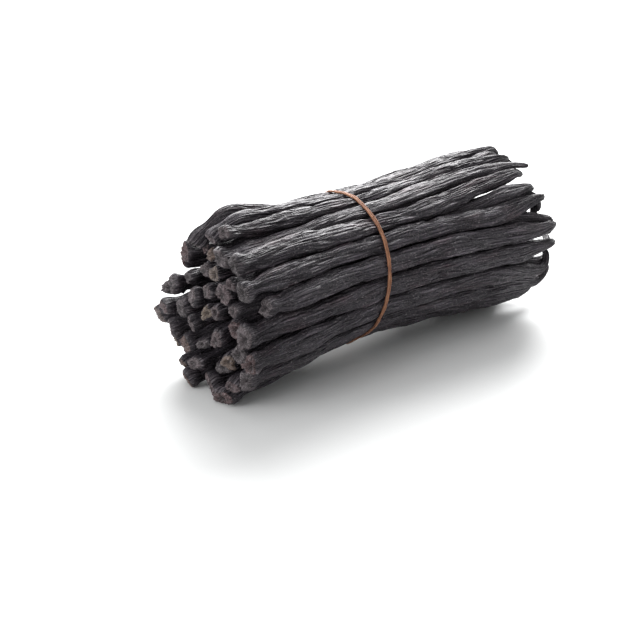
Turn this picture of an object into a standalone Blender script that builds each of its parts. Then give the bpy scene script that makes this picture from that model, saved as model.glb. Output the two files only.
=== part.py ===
"""A bundle of cured vanilla pods lying on its side, held by a tie of bast fibre.

The pods run along X, with their cut butt ends at -X and their thin, hooked tips at +X. A small packing
routine lays them beside each other: round sections are pushed apart, held inside the outline that the
tie gives the bundle, and kept from bending sharply. The bundle is one solid out to the uneven outline
of its pods. The tie, with its knot and two short ends, is another. The bundle rests on flat spots at
z = 0 near both ends, and its waist holds the tie clear of the surface that it lies on.
"""

import math

import bmesh
import bpy
import numpy as np
from mathutils import Matrix

MM = 0.001

# The pods, in rings from the middle of the bundle outwards
SEED = 11
RING_COUNTS = (2, 5, 9, 13, 18)
RING_RADII = (2.4 * MM, 8.6 * MM, 14.2 * MM, 19.6 * MM, 24.8 * MM)
POD_COUNT = sum(RING_COUNTS)
POD_LENGTH = 153 * MM
POD_MIDDLE_X = -1.5 * MM
POD_RADIUS = 4.1 * MM
RADIUS_SPREAD = 0.5 * MM
SWELL = 0.08
BUTT_STAGGER = 1.2 * MM
BUTT_SHORTFALL = 6.0 * MM
TIP_STAGGER = 5.0 * MM

# Distance from the end of a pod, and its radius there as a share of its body's
BUTT_PROFILE = ((0, 0.80), (1.2 * MM, 0.92), (3.5 * MM, 0.87), (8 * MM, 0.68), (16 * MM, 0.86), (26 * MM, 1))
TIP_PROFILE = ((0, 0.22), (1.5 * MM, 0.31), (8 * MM, 0.38), (15 * MM, 0.62), (24 * MM, 0.90), (36 * MM, 1))

# The thin tip of a pod curls over
HOOK_LENGTH = 10 * MM
HOOK_TURN = (math.radians(25), math.radians(130))
HOOK_INWARD = 0.7

# The cut ends stand a little apart. Those on the upper side are set back, and the far lower ones reach out
BUTT_SPLAY = 1.3 * MM
SPLAY_LENGTH = 14 * MM
SET_BACK_ANGLE = math.radians(55)
SET_BACK = 16 * MM
REACH_ANGLE = math.radians(-38)
REACH_OUT = 3.5 * MM

# Two upper pods' ends arch up over the others and droop: angle from +Y, crest's distance from the end,
# rise, drop, how far aside, and how far short
ARCH_STATION = 3
ARCHES = (
    (math.radians(66), 13 * MM, 4.2 * MM, 6.5 * MM, 1.6 * MM, 7.0 * MM),
    (math.radians(86), 12 * MM, 1.6 * MM, 5.0 * MM, -0.4 * MM, 7.5 * MM),
)

# The room that a pod keeps towards its cut end, as a share of its radius, so that the ends stand apart
BUTT_ROOM = ((-66 * MM, 1.10), (-40 * MM, 0))

# One pod on the near side is short, which leaves a recess: its angle from +Y, and how short
SHORT_POD = (math.radians(167), 8 * MM)

# How far the lowest pods are pressed flat where they lie on the table
PRESSED = 0.35 * MM

# The shape that the tie gives the bundle: place along X, and how far its middle droops or its radius
TIE_X = -15 * MM
TIE_LEAN = 0.14
AXIS_HEIGHT = 34.5 * MM
AXIS_DROOP = (
    (-86 * MM, 3.6 * MM),
    (-56 * MM, 1.9 * MM),
    (-30 * MM, 0.3 * MM),
    (TIE_X, 0),
    (40 * MM, 0.2 * MM),
    (84 * MM, 1.4 * MM),
)
OUTLINE = (
    (-86 * MM, 35.6 * MM),
    (-56 * MM, 32.8 * MM),
    (-36 * MM, 30.2 * MM),
    (TIE_X, 28.6 * MM),
    (10 * MM, 29.6 * MM),
    (36 * MM, 31.4 * MM),
    (60 * MM, 33.0 * MM),
    (84 * MM, 34.0 * MM),
)

# The middle of the laid bundle's box, which is moved onto the origin
BOX_MIDDLE_X = -1.2 * MM

# The packing routine
STATION_STEP = 6 * MM
STATIONS = 29
PACKING_ROUNDS = 400
PUSH = 0.30
HOLD = 0.80
BEND_EASE = 0.22
WANDER = 2.2 * MM
TIP_SPREAD = 0.009

# The filling behind the outer pods, short of both ends
CORE_INSET = 6.5 * MM
CORE_ROUNDING = 3.5 * MM
CORE_ENDS = (-59 * MM, 51 * MM)

# Meshing: tips are no thinner than the mesh can hold
POD_POINT_STEP = 3.5 * MM
THINNEST = 1.4 * MM
VOXEL = 1.1 * MM
BUNDLE_FACES = 8400

# The tie
STRAND_RADIUS = 0.75 * MM
GAP = 0.3 * MM
TIE_POINTS = 56
KNOT_ANGLE = math.radians(8)
KNOT_HALF_SIZES = (2.4 * MM, 1.5 * MM, 2.8 * MM)
KNOT_LIFT = 0.8 * MM
END_RISE = 1.3 * MM
TIE_ENDS = ((1, 11 * MM, 9 * MM), (-1, 8 * MM, -9 * MM))


def slow_curves(rng, knots):
    """Slow random curves between -1 and 1 along the stations, one for each pod."""
    drawn = rng.uniform(-1, 1, (POD_COUNT, knots))
    place = np.linspace(0, knots - 1, STATIONS)
    curves = np.array([np.interp(place, np.arange(knots), row) for row in drawn])
    for _ in range(4):
        curves[:, 1:-1] = (curves[:, :-2] + 2 * curves[:, 1:-1] + curves[:, 2:]) / 4
    return curves


def section_share(from_butt, from_tip):
    """A pod's radius as a share of its body's, at distances from its two ends."""
    return np.minimum(np.interp(from_butt, *zip(*BUTT_PROFILE)), np.interp(from_tip, *zip(*TIP_PROFILE)))


def start_in_rings(rng):
    """Each pod's place in the bundle's section before packing."""
    places = []
    for count, reach in zip(RING_COUNTS, RING_RADII):
        turn = rng.uniform(0, math.tau)
        for k in range(count):
            angle = turn + math.tau * (k + rng.uniform(-0.12, 0.12)) / count
            places.append((reach * math.cos(angle), reach * math.sin(angle)))
    return np.array(places)


def share_towards(places, angle):
    """How far places in the section lie towards an angle from +Y: 0 at the middle or behind, 1 at the rim."""
    return np.clip(places @ (math.cos(angle), math.sin(angle)) / RING_RADII[-1], 0, 1)


def pack(centre, radius, outline, lowest, spread):
    """Push the round sections at each station apart, inside the outline and above the table."""
    pair_reach = radius[:, None] + radius[None]
    itself = np.arange(POD_COUNT)
    for _ in range(PACKING_ROUNDS):
        apart = centre[:, None] - centre[None]
        distance = np.linalg.norm(apart, axis=3) + 1e-9
        overlap = np.clip(pair_reach - distance, 0, None)
        overlap[itself, itself] = 0
        centre += PUSH * (apart * (overlap / distance)[..., None]).sum(axis=1)
        centre *= 1 + spread[:, None]
        out = np.linalg.norm(centre, axis=2) + 1e-9
        over = np.clip(out + radius - outline, 0, None)
        centre -= centre * (HOLD * over / out)[..., None]
        centre[..., 1] += HOLD * np.clip(lowest - centre[..., 1], 0, None)
        bend = centre[:, :-2] - 2 * centre[:, 1:-1] + centre[:, 2:]
        centre[:, 1:-1] += BEND_EASE * bend
        centre[:, 0] += BEND_EASE * (2 * centre[:, 1] - centre[:, 2] - centre[:, 0])
        centre[:, -1] += BEND_EASE * (2 * centre[:, -2] - centre[:, -3] - centre[:, -1])
    return centre


def lay_pods():
    """One dictionary for each pod: its centre line, its radius at each station, and its two ends."""
    rng = np.random.default_rng(SEED)
    x = (np.arange(STATIONS) - (STATIONS - 1) / 2) * STATION_STEP
    rings = start_in_rings(rng)
    body = POD_RADIUS + RADIUS_SPREAD * rng.uniform(-1, 1, (POD_COUNT, 1))
    body = body * (1 + SWELL * slow_curves(rng, 7))
    butt = BUTT_STAGGER * rng.uniform(-1, 1, POD_COUNT) + BUTT_SHORTFALL * rng.uniform(0, 1, POD_COUNT) ** 6
    butt += SET_BACK * share_towards(rings, SET_BACK_ANGLE) ** 2 + POD_MIDDLE_X - POD_LENGTH / 2
    butt -= REACH_OUT * share_towards(rings, REACH_ANGLE)
    tip = POD_MIDDLE_X + POD_LENGTH / 2 + TIP_STAGGER * rng.uniform(-1, 0.8, POD_COUNT)
    radius = body * section_share(x - butt[:, None], tip[:, None] - x)
    room = np.maximum(radius, body * np.interp(x, *zip(*BUTT_ROOM)))
    outline = np.interp(x, *zip(*OUTLINE))
    axis_z = AXIS_HEIGHT - np.interp(x, *zip(*AXIS_DROOP))

    centre = np.stack([slow_curves(rng, 5), slow_curves(rng, 5)], axis=2) * WANDER + rings[:, None]
    centre *= (outline / outline.max())[:, None]
    spread = TIP_SPREAD * np.clip(x / POD_LENGTH, 0, None)
    centre = pack(centre, room, outline, radius - axis_z, spread)

    pods = []
    for i in range(POD_COUNT):
        line = np.column_stack([x, centre[i, :, 0], centre[i, :, 1] + axis_z])
        splay = centre[i, 1] / np.linalg.norm(centre[i, 1]) + rng.uniform(-0.8, 0.8, 2)
        curl = -HOOK_INWARD * centre[i, -2] / np.linalg.norm(centre[i, -2]) + rng.uniform(-1, 1, 2)
        pods.append({
            "line": line,
            "body": body[i],
            "butt": butt[i],
            "tip": tip[i],
            "splay": splay,
            "curl": curl / np.linalg.norm(curl),
            "turn": rng.uniform(*HOOK_TURN),
            "arch": None,
        })
    direction = (math.cos(SHORT_POD[0]), math.sin(SHORT_POD[0]))
    pods[(centre[:, ARCH_STATION] @ direction).argmax()]["butt"] += SHORT_POD[1]
    for arch in ARCHES:
        direction = (math.cos(arch[0]), math.sin(arch[0]))
        arched = pods[(centre[:, ARCH_STATION] @ direction).argmax()]
        arched["arch"] = arch
        arched["butt"] = arch[5] + POD_MIDDLE_X - POD_LENGTH / 2
    return pods


def through_stations(values, x):
    """A smooth curve through the values at the stations, read at places along X."""
    place = np.clip(x / STATION_STEP + (STATIONS - 1) / 2, 0, STATIONS - 1.001)
    k = np.clip(place.astype(int), 1, STATIONS - 3)
    t = place - k
    if values.ndim > 1:
        t = t[:, None]
    before, here, there, after = values[k - 1], values[k], values[k + 1], values[k + 2]
    slope = (there - before) / 2
    next_slope = (after - here) / 2
    rest = there - here
    return here + t * (slope + t * (3 * rest - 2 * slope - next_slope + t * (slope + next_slope - 2 * rest)))


def pod_line(pod, place):
    """Points along a pod's middle and its radii, at distances from its cut end."""
    length = pod["tip"] - pod["butt"]
    straight = length - HOOK_LENGTH
    x = pod["butt"] + np.minimum(place, straight)
    points = through_stations(pod["line"], x)
    points[:, 0] = x
    points[:, 1:] += BUTT_SPLAY * (np.clip(1 - place / SPLAY_LENGTH, 0, None) ** 2)[:, None] * pod["splay"]
    if pod["arch"]:
        _, crest, rise, drop, lean, _ = pod["arch"]
        along = place / crest
        points[:, 1] += lean * np.clip(1 - along, 0, None)
        points[:, 2] += rise * np.exp(-((along - 1) ** 2) * 1.2) - drop * np.clip(1 - along, 0, None) ** 1.6
    turned = pod["turn"] * np.clip((place - straight) / HOOK_LENGTH, 0, 1)
    bend_radius = HOOK_LENGTH / pod["turn"]
    aside = bend_radius * (1 - np.cos(turned))
    points += np.column_stack([bend_radius * np.sin(turned), aside * pod["curl"][0], aside * pod["curl"][1]])
    radius = through_stations(pod["body"], pod["butt"] + place) * section_share(place, length - place)
    points[:, 2] = np.maximum(points[:, 2], radius - PRESSED)
    return points, radius


def clear_scene():
    for old in list(bpy.data.objects):
        bpy.data.objects.remove(old, do_unlink=True)


def linear(hex_colour):
    """A #rrggbb colour as the linear values that a shader takes."""
    parts = [int(hex_colour[k:k + 2], 16) / 255 for k in (1, 3, 5)]
    return [c / 12.92 if c <= 0.04045 else ((c + 0.055) / 1.055) ** 2.4 for c in parts] + [1]


def plain_material(name, hex_colour, roughness):
    material = bpy.data.materials.new(name)
    material.use_nodes = True
    shader = material.node_tree.nodes["Principled BSDF"]
    shader.inputs["Base Color"].default_value = linear(hex_colour)
    shader.inputs["Roughness"].default_value = roughness
    return material


def tube_curve(name, routes, sides, cyclic=False):
    """A curve object with a round tube along each route of (points, radii)."""
    curve = bpy.data.curves.new(name, "CURVE")
    curve.dimensions = "3D"
    curve.bevel_depth = MM
    curve.bevel_resolution = sides
    curve.use_fill_caps = not cyclic
    for points, radii in routes:
        spline = curve.splines.new("POLY")
        spline.points.add(len(points) - 1)
        for knot, place, radius in zip(spline.points, points, radii):
            knot.co = (*place, 1)
            knot.radius = radius / MM
        spline.use_cyclic_u = cyclic
    return bpy.data.objects.new(name, curve)


def as_bmesh(obj):
    """An object's finished mesh, with its caps joined to its tubes, as a bmesh."""
    bpy.context.view_layer.update()
    made = bpy.data.meshes.new_from_object(obj.evaluated_get(bpy.context.evaluated_depsgraph_get()))
    work = bmesh.new()
    work.from_mesh(made)
    bpy.data.meshes.remove(made)
    bmesh.ops.remove_doubles(work, verts=work.verts, dist=1e-6)
    return work


def make_mesh_object(name, work, collection, material):
    mesh = bpy.data.meshes.new(name)
    work.to_mesh(mesh)
    work.free()
    obj = bpy.data.objects.new(name, mesh)
    collection.objects.link(obj)
    mesh.materials.append(material)
    return obj


def level_underside(obj):
    """Press whatever reaches below the table flat onto it."""
    for vertex in obj.data.vertices:
        vertex.co.z = max(vertex.co.z, 0)


def apply_modifier(obj, kind, **settings):
    modifier = obj.modifiers.new(kind.title(), kind)
    for key, value in settings.items():
        setattr(modifier, key, value)
    bpy.context.view_layer.objects.active = obj
    bpy.ops.object.modifier_apply(modifier=modifier.name)


def make_bundle(collection, material):
    """All the pods grown together into one solid, with a core behind them."""
    routes = []
    for pod in lay_pods():
        length = pod["tip"] - pod["butt"]
        points, radius = pod_line(pod, np.linspace(0, length, round(length / POD_POINT_STEP)))
        routes.append((points, np.maximum(radius, THINNEST)))
    pods = tube_curve("pod_tubes", routes, 2)
    along = np.linspace(-1, 1, 15)
    core_x = np.interp(along, (-1, 1), CORE_ENDS)
    core_line = np.column_stack([core_x, 0 * along, AXIS_HEIGHT - np.interp(core_x, *zip(*AXIS_DROOP))])
    core_radius = np.interp(core_x, *zip(*OUTLINE)) - CORE_INSET - CORE_ROUNDING * along ** 6
    core = tube_curve("core_tube", [(core_line, core_radius)], 8)
    joined = bmesh.new()
    for piece in (pods, core):
        collection.objects.link(piece)
        part = as_bmesh(piece)
        held = bpy.data.meshes.new("held")
        part.to_mesh(held)
        part.free()
        joined.from_mesh(held)
        bpy.data.meshes.remove(held)
        bpy.data.objects.remove(piece, do_unlink=True)
    bundle = make_mesh_object("pod_bundle", joined, collection, material)
    apply_modifier(bundle, "REMESH", mode="VOXEL", voxel_size=VOXEL)
    apply_modifier(bundle, "SMOOTH", factor=0.5, iterations=3)
    level_underside(bundle)
    apply_modifier(bundle, "DECIMATE", ratio=BUNDLE_FACES / (2 * len(bundle.data.polygons)))
    level_underside(bundle)
    return bundle


def tie_x(angle):
    """The leaning tie's place along X, at an angle from +Y about the bundle's axis."""
    return TIE_X + TIE_LEAN * OUTLINE[3][1] * math.sin(angle)


def edge_ends(mesh):
    """Both ends of every edge of a mesh."""
    points = np.array([vertex.co for vertex in mesh.vertices])
    return points[np.array([edge.vertices[:] for edge in mesh.edges])]


def section_near(ends, x):
    """The bundle's section where a strand crosses it at X, about the bundle's axis."""
    points = ends.reshape(-1, 3)
    found = [points[np.abs(points[:, 0] - x) < STRAND_RADIUS]]
    for cut in (x - STRAND_RADIUS, x, x + STRAND_RADIUS):
        side = ends[:, :, 0] - cut
        start, stop = ends[side[:, 0] * side[:, 1] < 0].transpose(1, 0, 2)
        share = (cut - start[:, 0]) / (stop[:, 0] - start[:, 0])
        found.append(start + share[:, None] * (stop - start))
    return np.concatenate(found)[:, 1:] - (0, AXIS_HEIGHT)


def taut_reach(section, angle):
    """How far a taut strand round a section lies from the axis: straight from high spot to high spot."""
    turns = np.linspace(-1.2, 1.2, 97)
    normals = np.column_stack([np.cos(angle + turns), np.sin(angle + turns)])
    support = (section @ normals.T).max(axis=0)
    return (support / np.cos(turns)).min()


def strand_place(ends, x, angle, lift):
    """A point over the bundle at X, at an angle from +Y, lifted off the line of the pods' high spots."""
    reach = taut_reach(section_near(ends, x), angle) + lift
    return (x, reach * math.cos(angle), AXIS_HEIGHT + reach * math.sin(angle))


def knot_mesh(place):
    """A small tight knot: a ball pressed against the bundle."""
    work = bmesh.new()
    turned = Matrix.Rotation(KNOT_ANGLE, 4, "X")
    shape = Matrix.Diagonal((*KNOT_HALF_SIZES, 1))
    bmesh.ops.create_uvsphere(work, u_segments=10, v_segments=7, radius=1,
                              matrix=Matrix.Translation(place) @ turned @ shape)
    return work


def make_tie(bundle, collection, material):
    """A strand pulled tight round the bundle, its knot, and the two short ends that leave the knot."""
    ends = edge_ends(bundle.data)
    lift = GAP + STRAND_RADIUS
    loop = []
    for angle in np.arange(TIE_POINTS) * math.tau / TIE_POINTS:
        loop.append(strand_place(ends, tie_x(angle), angle, lift))
    pieces = [tube_curve("tie_loop", [(loop, [STRAND_RADIUS] * TIE_POINTS)], 2, cyclic=True)]
    for side, reach, run in TIE_ENDS:
        end = []
        for t in np.linspace(0, 1, 8):
            rise = lift + END_RISE * math.sin(math.pi * min(1, 0.35 + 0.65 * t))
            angle = KNOT_ANGLE + side * reach * t / AXIS_HEIGHT
            end.append(strand_place(ends, tie_x(KNOT_ANGLE) + run * t, angle, rise))
        pieces.append(tube_curve("tie_end", [(end, [STRAND_RADIUS * 0.9] * len(end))], 2))
    tie = None
    for piece in pieces:
        collection.objects.link(piece)
        part = make_mesh_object("tie", as_bmesh(piece), collection, material)
        bpy.data.objects.remove(piece, do_unlink=True)
        tie = part if tie is None else unite(tie, part)
    knot_place = strand_place(ends, tie_x(KNOT_ANGLE), KNOT_ANGLE, lift + KNOT_LIFT)
    return unite(tie, make_mesh_object("knot", knot_mesh(knot_place), collection, material))


def unite(base, extra):
    """Grow one solid into another and remove the second."""
    apply_modifier(base, "BOOLEAN", operation="UNION", object=extra, solver="EXACT")
    bpy.data.objects.remove(extra, do_unlink=True)
    return base


def main():
    clear_scene()
    collection = bpy.data.collections.new("vanilla_pod_bundle")
    bpy.context.scene.collection.children.link(collection)
    skin = plain_material("cured_pod_skin", "#2c2725", 0.5)
    bast = plain_material("bast_strand", "#8a5f4b", 0.75)
    bundle = make_bundle(collection, skin)
    tie = make_tie(bundle, collection, bast)
    for obj in (bundle, tie):
        obj.data.transform(Matrix.Translation((-BOX_MIDDLE_X, 0, 0)))


main()
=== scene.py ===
"""A tied bundle of cured vanilla pods, each pod with its own wrinkled skin, on a pale studio floor."""

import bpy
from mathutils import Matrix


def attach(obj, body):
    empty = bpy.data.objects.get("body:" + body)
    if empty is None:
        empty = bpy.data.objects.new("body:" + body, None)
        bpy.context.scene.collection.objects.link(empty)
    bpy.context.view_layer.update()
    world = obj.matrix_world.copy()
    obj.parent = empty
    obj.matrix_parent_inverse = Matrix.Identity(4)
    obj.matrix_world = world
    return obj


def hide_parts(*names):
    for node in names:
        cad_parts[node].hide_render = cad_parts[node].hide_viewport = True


bl_info = {
    "name": "Vanilla Pod Bundle",
    "version": (1, 0, 0),
    "blender": (4, 5, 0),
    "location": "3D View > Sidebar > Vanilla",
    "description": "Lays cured vanilla pods in a tied bundle, with their skins, cut ends, tie and studio",
    "category": "Add Mesh",
}

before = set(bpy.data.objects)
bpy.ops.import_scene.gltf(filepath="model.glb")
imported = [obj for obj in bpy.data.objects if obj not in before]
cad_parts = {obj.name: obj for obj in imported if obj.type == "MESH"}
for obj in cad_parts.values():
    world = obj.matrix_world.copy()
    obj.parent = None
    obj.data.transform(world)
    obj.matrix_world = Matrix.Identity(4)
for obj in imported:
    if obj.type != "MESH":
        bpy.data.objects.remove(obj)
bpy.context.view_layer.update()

import functools
import math

import bpy
import numpy as np
from bpy.props import FloatProperty, FloatVectorProperty, PointerProperty
from bpy.types import Operator, Panel, PropertyGroup
from mathutils import Matrix, Vector

MM = 0.001

# The pods, in rings from the middle of the bundle outwards
SEED = 11
RING_COUNTS = (2, 5, 9, 13, 18)
RING_RADII = (2.4 * MM, 8.6 * MM, 14.2 * MM, 19.6 * MM, 24.8 * MM)
POD_COUNT = sum(RING_COUNTS)
OUTER_RING = len(RING_COUNTS) - 1
RADIUS_SPREAD = 0.5 * MM
SWELL = 0.08
BUTT_STAGGER = 1.2 * MM
BUTT_SHORTFALL = 6.0 * MM
POD_MIDDLE_X = -1.5 * MM
TIP_STAGGER = 5.0 * MM

# Distance from the end of a pod, and its radius there as a share of its body's
BUTT_PROFILE = (
    (0, 0.80), (1.2 * MM, 0.92), (3.5 * MM, 0.87), (8 * MM, 0.68), (16 * MM, 0.86), (26 * MM, 1))
TIP_PROFILE = (
    (0, 0.22), (1.5 * MM, 0.31), (8 * MM, 0.38), (15 * MM, 0.62), (24 * MM, 0.90), (36 * MM, 1))

# The thin tip of a pod curls over
HOOK_LENGTH = 10 * MM
HOOK_TURN = (math.radians(25), math.radians(130))
HOOK_INWARD = 0.7

# The cut ends stand a little apart. Those on the upper side are set back, and the far lower ones reach out
BUTT_SPLAY = 1.3 * MM
SPLAY_LENGTH = 14 * MM
SET_BACK_ANGLE = math.radians(55)
SET_BACK = 16 * MM
REACH_ANGLE = math.radians(-38)
REACH_OUT = 3.5 * MM

# Two upper pods' ends arch up over the others and droop: angle from +Y, crest's distance from the end,
# rise, drop, how far aside, and how far short
ARCH_STATION = 3
ARCHES = (
    (math.radians(66), 13 * MM, 4.2 * MM, 6.5 * MM, 1.6 * MM, 7.0 * MM),
    (math.radians(86), 12 * MM, 1.6 * MM, 5.0 * MM, -0.4 * MM, 7.5 * MM),
)

# The room that a pod takes near its cut end, by place along X and as a share of its radius, so that the cut
# ends stand apart
BUTT_ROOM = ((-66 * MM, 1.10), (-40 * MM, 0))

# One pod on the near side is short, which leaves a recess: its angle from +Y, and how short
SHORT_POD = (math.radians(167), 8 * MM)

# How far the lowest pods are pressed flat where they lie on the table, and how near it their skins give way
PRESSED = 0.35 * MM
TABLE_SOFTNESS = 0.35 * MM

# The shape that the tie gives the bundle: place along X, and how far its middle droops or its radius
TIE_X = -15 * MM
TIE_LEAN = 0.14
AXIS_HEIGHT = 34.5 * MM
AXIS_DROOP = (
    (-86 * MM, 3.6 * MM),
    (-56 * MM, 1.9 * MM),
    (-30 * MM, 0.3 * MM),
    (TIE_X, 0),
    (40 * MM, 0.2 * MM),
    (84 * MM, 1.4 * MM),
)
OUTLINE = (
    (-86 * MM, 35.6 * MM),
    (-56 * MM, 32.8 * MM),
    (-36 * MM, 30.2 * MM),
    (TIE_X, 28.6 * MM),
    (10 * MM, 29.6 * MM),
    (36 * MM, 31.4 * MM),
    (60 * MM, 33.0 * MM),
    (84 * MM, 34.0 * MM),
)
TIE_RADIUS = dict(OUTLINE)[TIE_X]

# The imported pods' middle along X, moved to 0
BOX_MIDDLE_X = -1.2 * MM

# The packing routine
STATION_STEP = 6 * MM
STATIONS = 29
PACKING_ROUNDS = 400
PUSH = 0.30
HOLD = 0.80
BEND_EASE = 0.22
WANDER = 2.2 * MM
TIP_SPREAD = 0.009

# How finely each kind of pod is made: rings near the butt, along the body, near the tip, and points around
BUTT_FINE = 14 * MM
TIP_FINE = 24 * MM
OUTER_DETAIL = (20, 100, 26, 124)
MIDDLE_DETAIL = (22, 22, 24, 84)
INNER_DETAIL = (20, 8, 20, 72)

# How pods press on each other: how plump each is before it meets the others, how sharp the edges of the
# flats are, how far off a pod counts as a neighbour, and how deep it may press, as shares of the radii
PLUMP = 1.17
SQUEEZE_SHARPNESS = 9
NEIGHBOUR_REACH = 1.3
LEAST_SHARE = 0.4
SKIN_GAP = 0.07 * MM

# The section of a pod: ranges, as shares of its radius, and how fast its keels turn, in radians a metre
FLATTENING = (0.07, 0.15)
KEEL = (0.02, 0.06)
KEEL_TWIST = 12
GIRTH_SPREAD = 0.09
GIRTH_LENGTH = 13 * MM

# The shrunken skin: long folds with finer wrinkles on them, both counted round the pod
FOLDS_AROUND = 7
FOLD_LENGTH = 36 * MM
FOLD_DEPTH = 0.85 * MM
WRINKLES_AROUND = 20
WRINKLE_LENGTH = 20 * MM
WRINKLE_DEPTH = 0.55 * MM
CREASE_WIDTH = 0.48
CREASE_ROUNDING = 0.7
THIN_SKIN_SHARE = 0.35
SWELL_HEIGHT = 0.38 * MM
DENT_DEPTH = 2.2 * MM
DENT_RARITY = 0.6
TIE_PINCH = 0.7 * MM
PINCH_WIDTH = 2.4 * MM

# The knob at the cut end: how far its lumps run and how large they are, once, twice and three times round,
# after its change in girth; the neck behind it; and how much its face tilts
KNOB_LENGTH = 9 * MM
KNOB_LEAST = (-0.30, 0.05, 0.04, 0.02)
KNOB_MOST = (0.04, 0.19, 0.13, 0.08)
NECK_PLACE = 5.5 * MM
NECK_WIDTH = 2.4 * MM
NECK_DEPTH = (0.04, 0.26)
FACE_TILT = 0.32
TILT_LENGTH = 3 * MM

# The cut face: share of the end's radius, and how far the face stands out there
CUT_FACE = (
    (0.96, 0.30 * MM), (0.86, 0.62 * MM), (0.70, 0.82 * MM),
    (0.50, 0.72 * MM), (0.30, 0.50 * MM), (0.12, 0.40 * MM),
)
FULLNESS = (0.6, 1.9)
DIMPLE = (-0.5 * MM, 1.0 * MM)
FACE_ROUGHNESS = 0.45 * MM
PUCKER = 0.6 * MM

# The pit where the seeds were: how far off the middle, how deep, and how wide as shares of the face
PIT_OFFSET = 0.3
PIT_DEPTH = (0.2 * MM, 1.3 * MM)
PIT_WIDTH = 0.36
PIT_OVAL = 0.7

# The blunt cap at the tip, as the cut face
TIP_CAP = ((0.80, 0.25 * MM), (0.40, 0.42 * MM))

# The straightened pods that the patterns are laid on: steps over their ends, how far one pod lies from the
# next, so that no two have the same pattern, and how much painted crease shade the tip's cap takes
FACE_STEP = 0.5 * MM
TIP_STEP = 0.4 * MM
POD_SPACING = 0.2
TIP_GROOVE = 0.7

# A plain core inside the outer pods, which keeps light from passing along the gaps between the inner ones,
# dark all over with the skin's painted crease shade
CORE_ENDS = (-32 * MM, 4 * MM)
CORE_RADIUS = 19.5 * MM
CORE_RINGS = 3

# The tie: how far its plies waver along the pods and off them, and how uneven their width is
TIE_RINGS = 260
TIE_SIDES = 12
WAVERS = 9
SIDEWAYS = 0.10 * MM
OFF_PODS = 0.08 * MM
WIDTH_SPREAD = 0.16

# How the tie finds the pods under it: how near along X they count, and how far round, in radians, it may
# hang straight between high spots
TIE_SLICE = 1.1 * MM
TAUT_TURN = 1.2
TAUT_STEPS = 97

# The knot on the far side, and its two ends: which way round, how far round, and how far along X
KNOT_ANGLE = math.radians(8)
KNOT_TURNS = 2.5
KNOT_RADIUS = 1.15 * MM
KNOT_LENGTH = 4.2 * MM
KNOT_RINGS = 64
TIE_ENDS = ((1, 11 * MM, 9 * MM), (-1, 8 * MM, -9 * MM))
END_RISE = 1.3 * MM
END_RINGS = 30
END_DISC = 0.002


# ---------------------------------------------------------------- laying the pods


def slow_curves(rng, knots):
    """Slow random curves between -1 and 1 along the stations, one for each pod."""
    drawn = rng.uniform(-1, 1, (POD_COUNT, knots))
    place = np.linspace(0, knots - 1, STATIONS)
    curves = np.array([np.interp(place, np.arange(knots), row) for row in drawn])
    for _ in range(4):
        curves[:, 1:-1] = (curves[:, :-2] + 2 * curves[:, 1:-1] + curves[:, 2:]) / 4
    return curves


def section_share(from_butt, from_tip):
    """A pod's radius as a share of its body's, at distances from its two ends."""
    near_butt = np.interp(from_butt, *zip(*BUTT_PROFILE))
    return np.minimum(near_butt, np.interp(from_tip, *zip(*TIP_PROFILE)))


def start_in_rings(rng):
    """Each pod's place in the bundle's section before packing."""
    places = []
    for count, reach in zip(RING_COUNTS, RING_RADII):
        turn = rng.uniform(0, math.tau)
        for k in range(count):
            angle = turn + math.tau * (k + rng.uniform(-0.12, 0.12)) / count
            places.append((reach * math.cos(angle), reach * math.sin(angle)))
    return np.array(places)


def share_towards(places, angle):
    """How far places in the section lie towards an angle from +Y: 0 at the middle or behind, 1 at the rim."""
    return np.clip(places @ (math.cos(angle), math.sin(angle)) / RING_RADII[-1], 0, 1)


def pack(centre, radius, outline, lowest, spread):
    """Push the round sections at each station apart, inside the outline and above the table."""
    pair_reach = radius[:, None] + radius[None]
    itself = np.arange(POD_COUNT)
    for _ in range(PACKING_ROUNDS):
        apart = centre[:, None] - centre[None]
        distance = np.linalg.norm(apart, axis=3) + 1e-9
        overlap = np.clip(pair_reach - distance, 0, None)
        overlap[itself, itself] = 0
        centre += PUSH * (apart * (overlap / distance)[..., None]).sum(axis=1)
        centre *= 1 + spread[:, None]
        out = np.linalg.norm(centre, axis=2) + 1e-9
        over = np.clip(out + radius - outline, 0, None)
        centre -= centre * (HOLD * over / out)[..., None]
        centre[..., 1] += HOLD * np.clip(lowest - centre[..., 1], 0, None)
        bend = centre[:, :-2] - 2 * centre[:, 1:-1] + centre[:, 2:]
        centre[:, 1:-1] += BEND_EASE * bend
        centre[:, 0] += BEND_EASE * (2 * centre[:, 1] - centre[:, 2] - centre[:, 0])
        centre[:, -1] += BEND_EASE * (2 * centre[:, -2] - centre[:, -3] - centre[:, -1])
    return centre


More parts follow.
